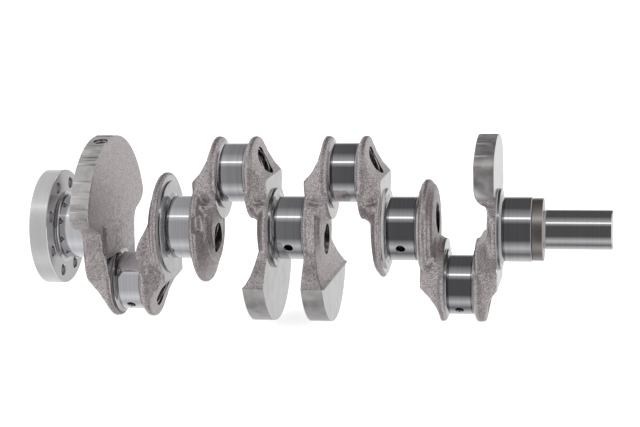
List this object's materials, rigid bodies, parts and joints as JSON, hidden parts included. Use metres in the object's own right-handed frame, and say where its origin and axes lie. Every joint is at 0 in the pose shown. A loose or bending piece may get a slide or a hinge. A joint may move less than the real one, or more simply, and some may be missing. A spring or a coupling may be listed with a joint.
{
  "type": "crankshaft",
  "caption": "Crankshaft with offset crankpins, ground main journals, cast counterweighted webs, a drilled rear flange and a plain front nose",
  "frame": {"origin": "on the shaft axis at the middle of the centre main journal", "axes": "+X runs along the shaft towards the nose, +Z points to the two inner crankpins, which stand up at rest"},
  "size_m": [0.4874, 0.1538, 0.159],
  "materials": {
    "cast_web": "as cast, with milled and turned faces",
    "ground_journal": "ground and polished to a mirror",
    "turned_flange": "fine turned, satin",
    "brushed_collar": "fine ground, satin",
    "polished_nose": "ground and polished"
  },
  "bodies": {
    "root": {"rear_flange": "turned_flange", "main_journal_1": "ground_journal", "main_journal_2": "ground_journal", "main_journal_3": "ground_journal", "main_journal_4": "ground_journal", "main_journal_5": "ground_journal", "crankpin_1": "ground_journal", "crankpin_2": "ground_journal", "crankpin_3": "ground_journal", "crankpin_4": "ground_journal", "web_1": "cast_web", "web_2": "cast_web", "web_3": "cast_web", "web_4": "cast_web", "web_5": "cast_web", "web_6": "cast_web", "web_7": "cast_web", "web_8": "cast_web", "seal_collar": "brushed_collar", "nose": "polished_nose"}
  },
  "joints": []
}
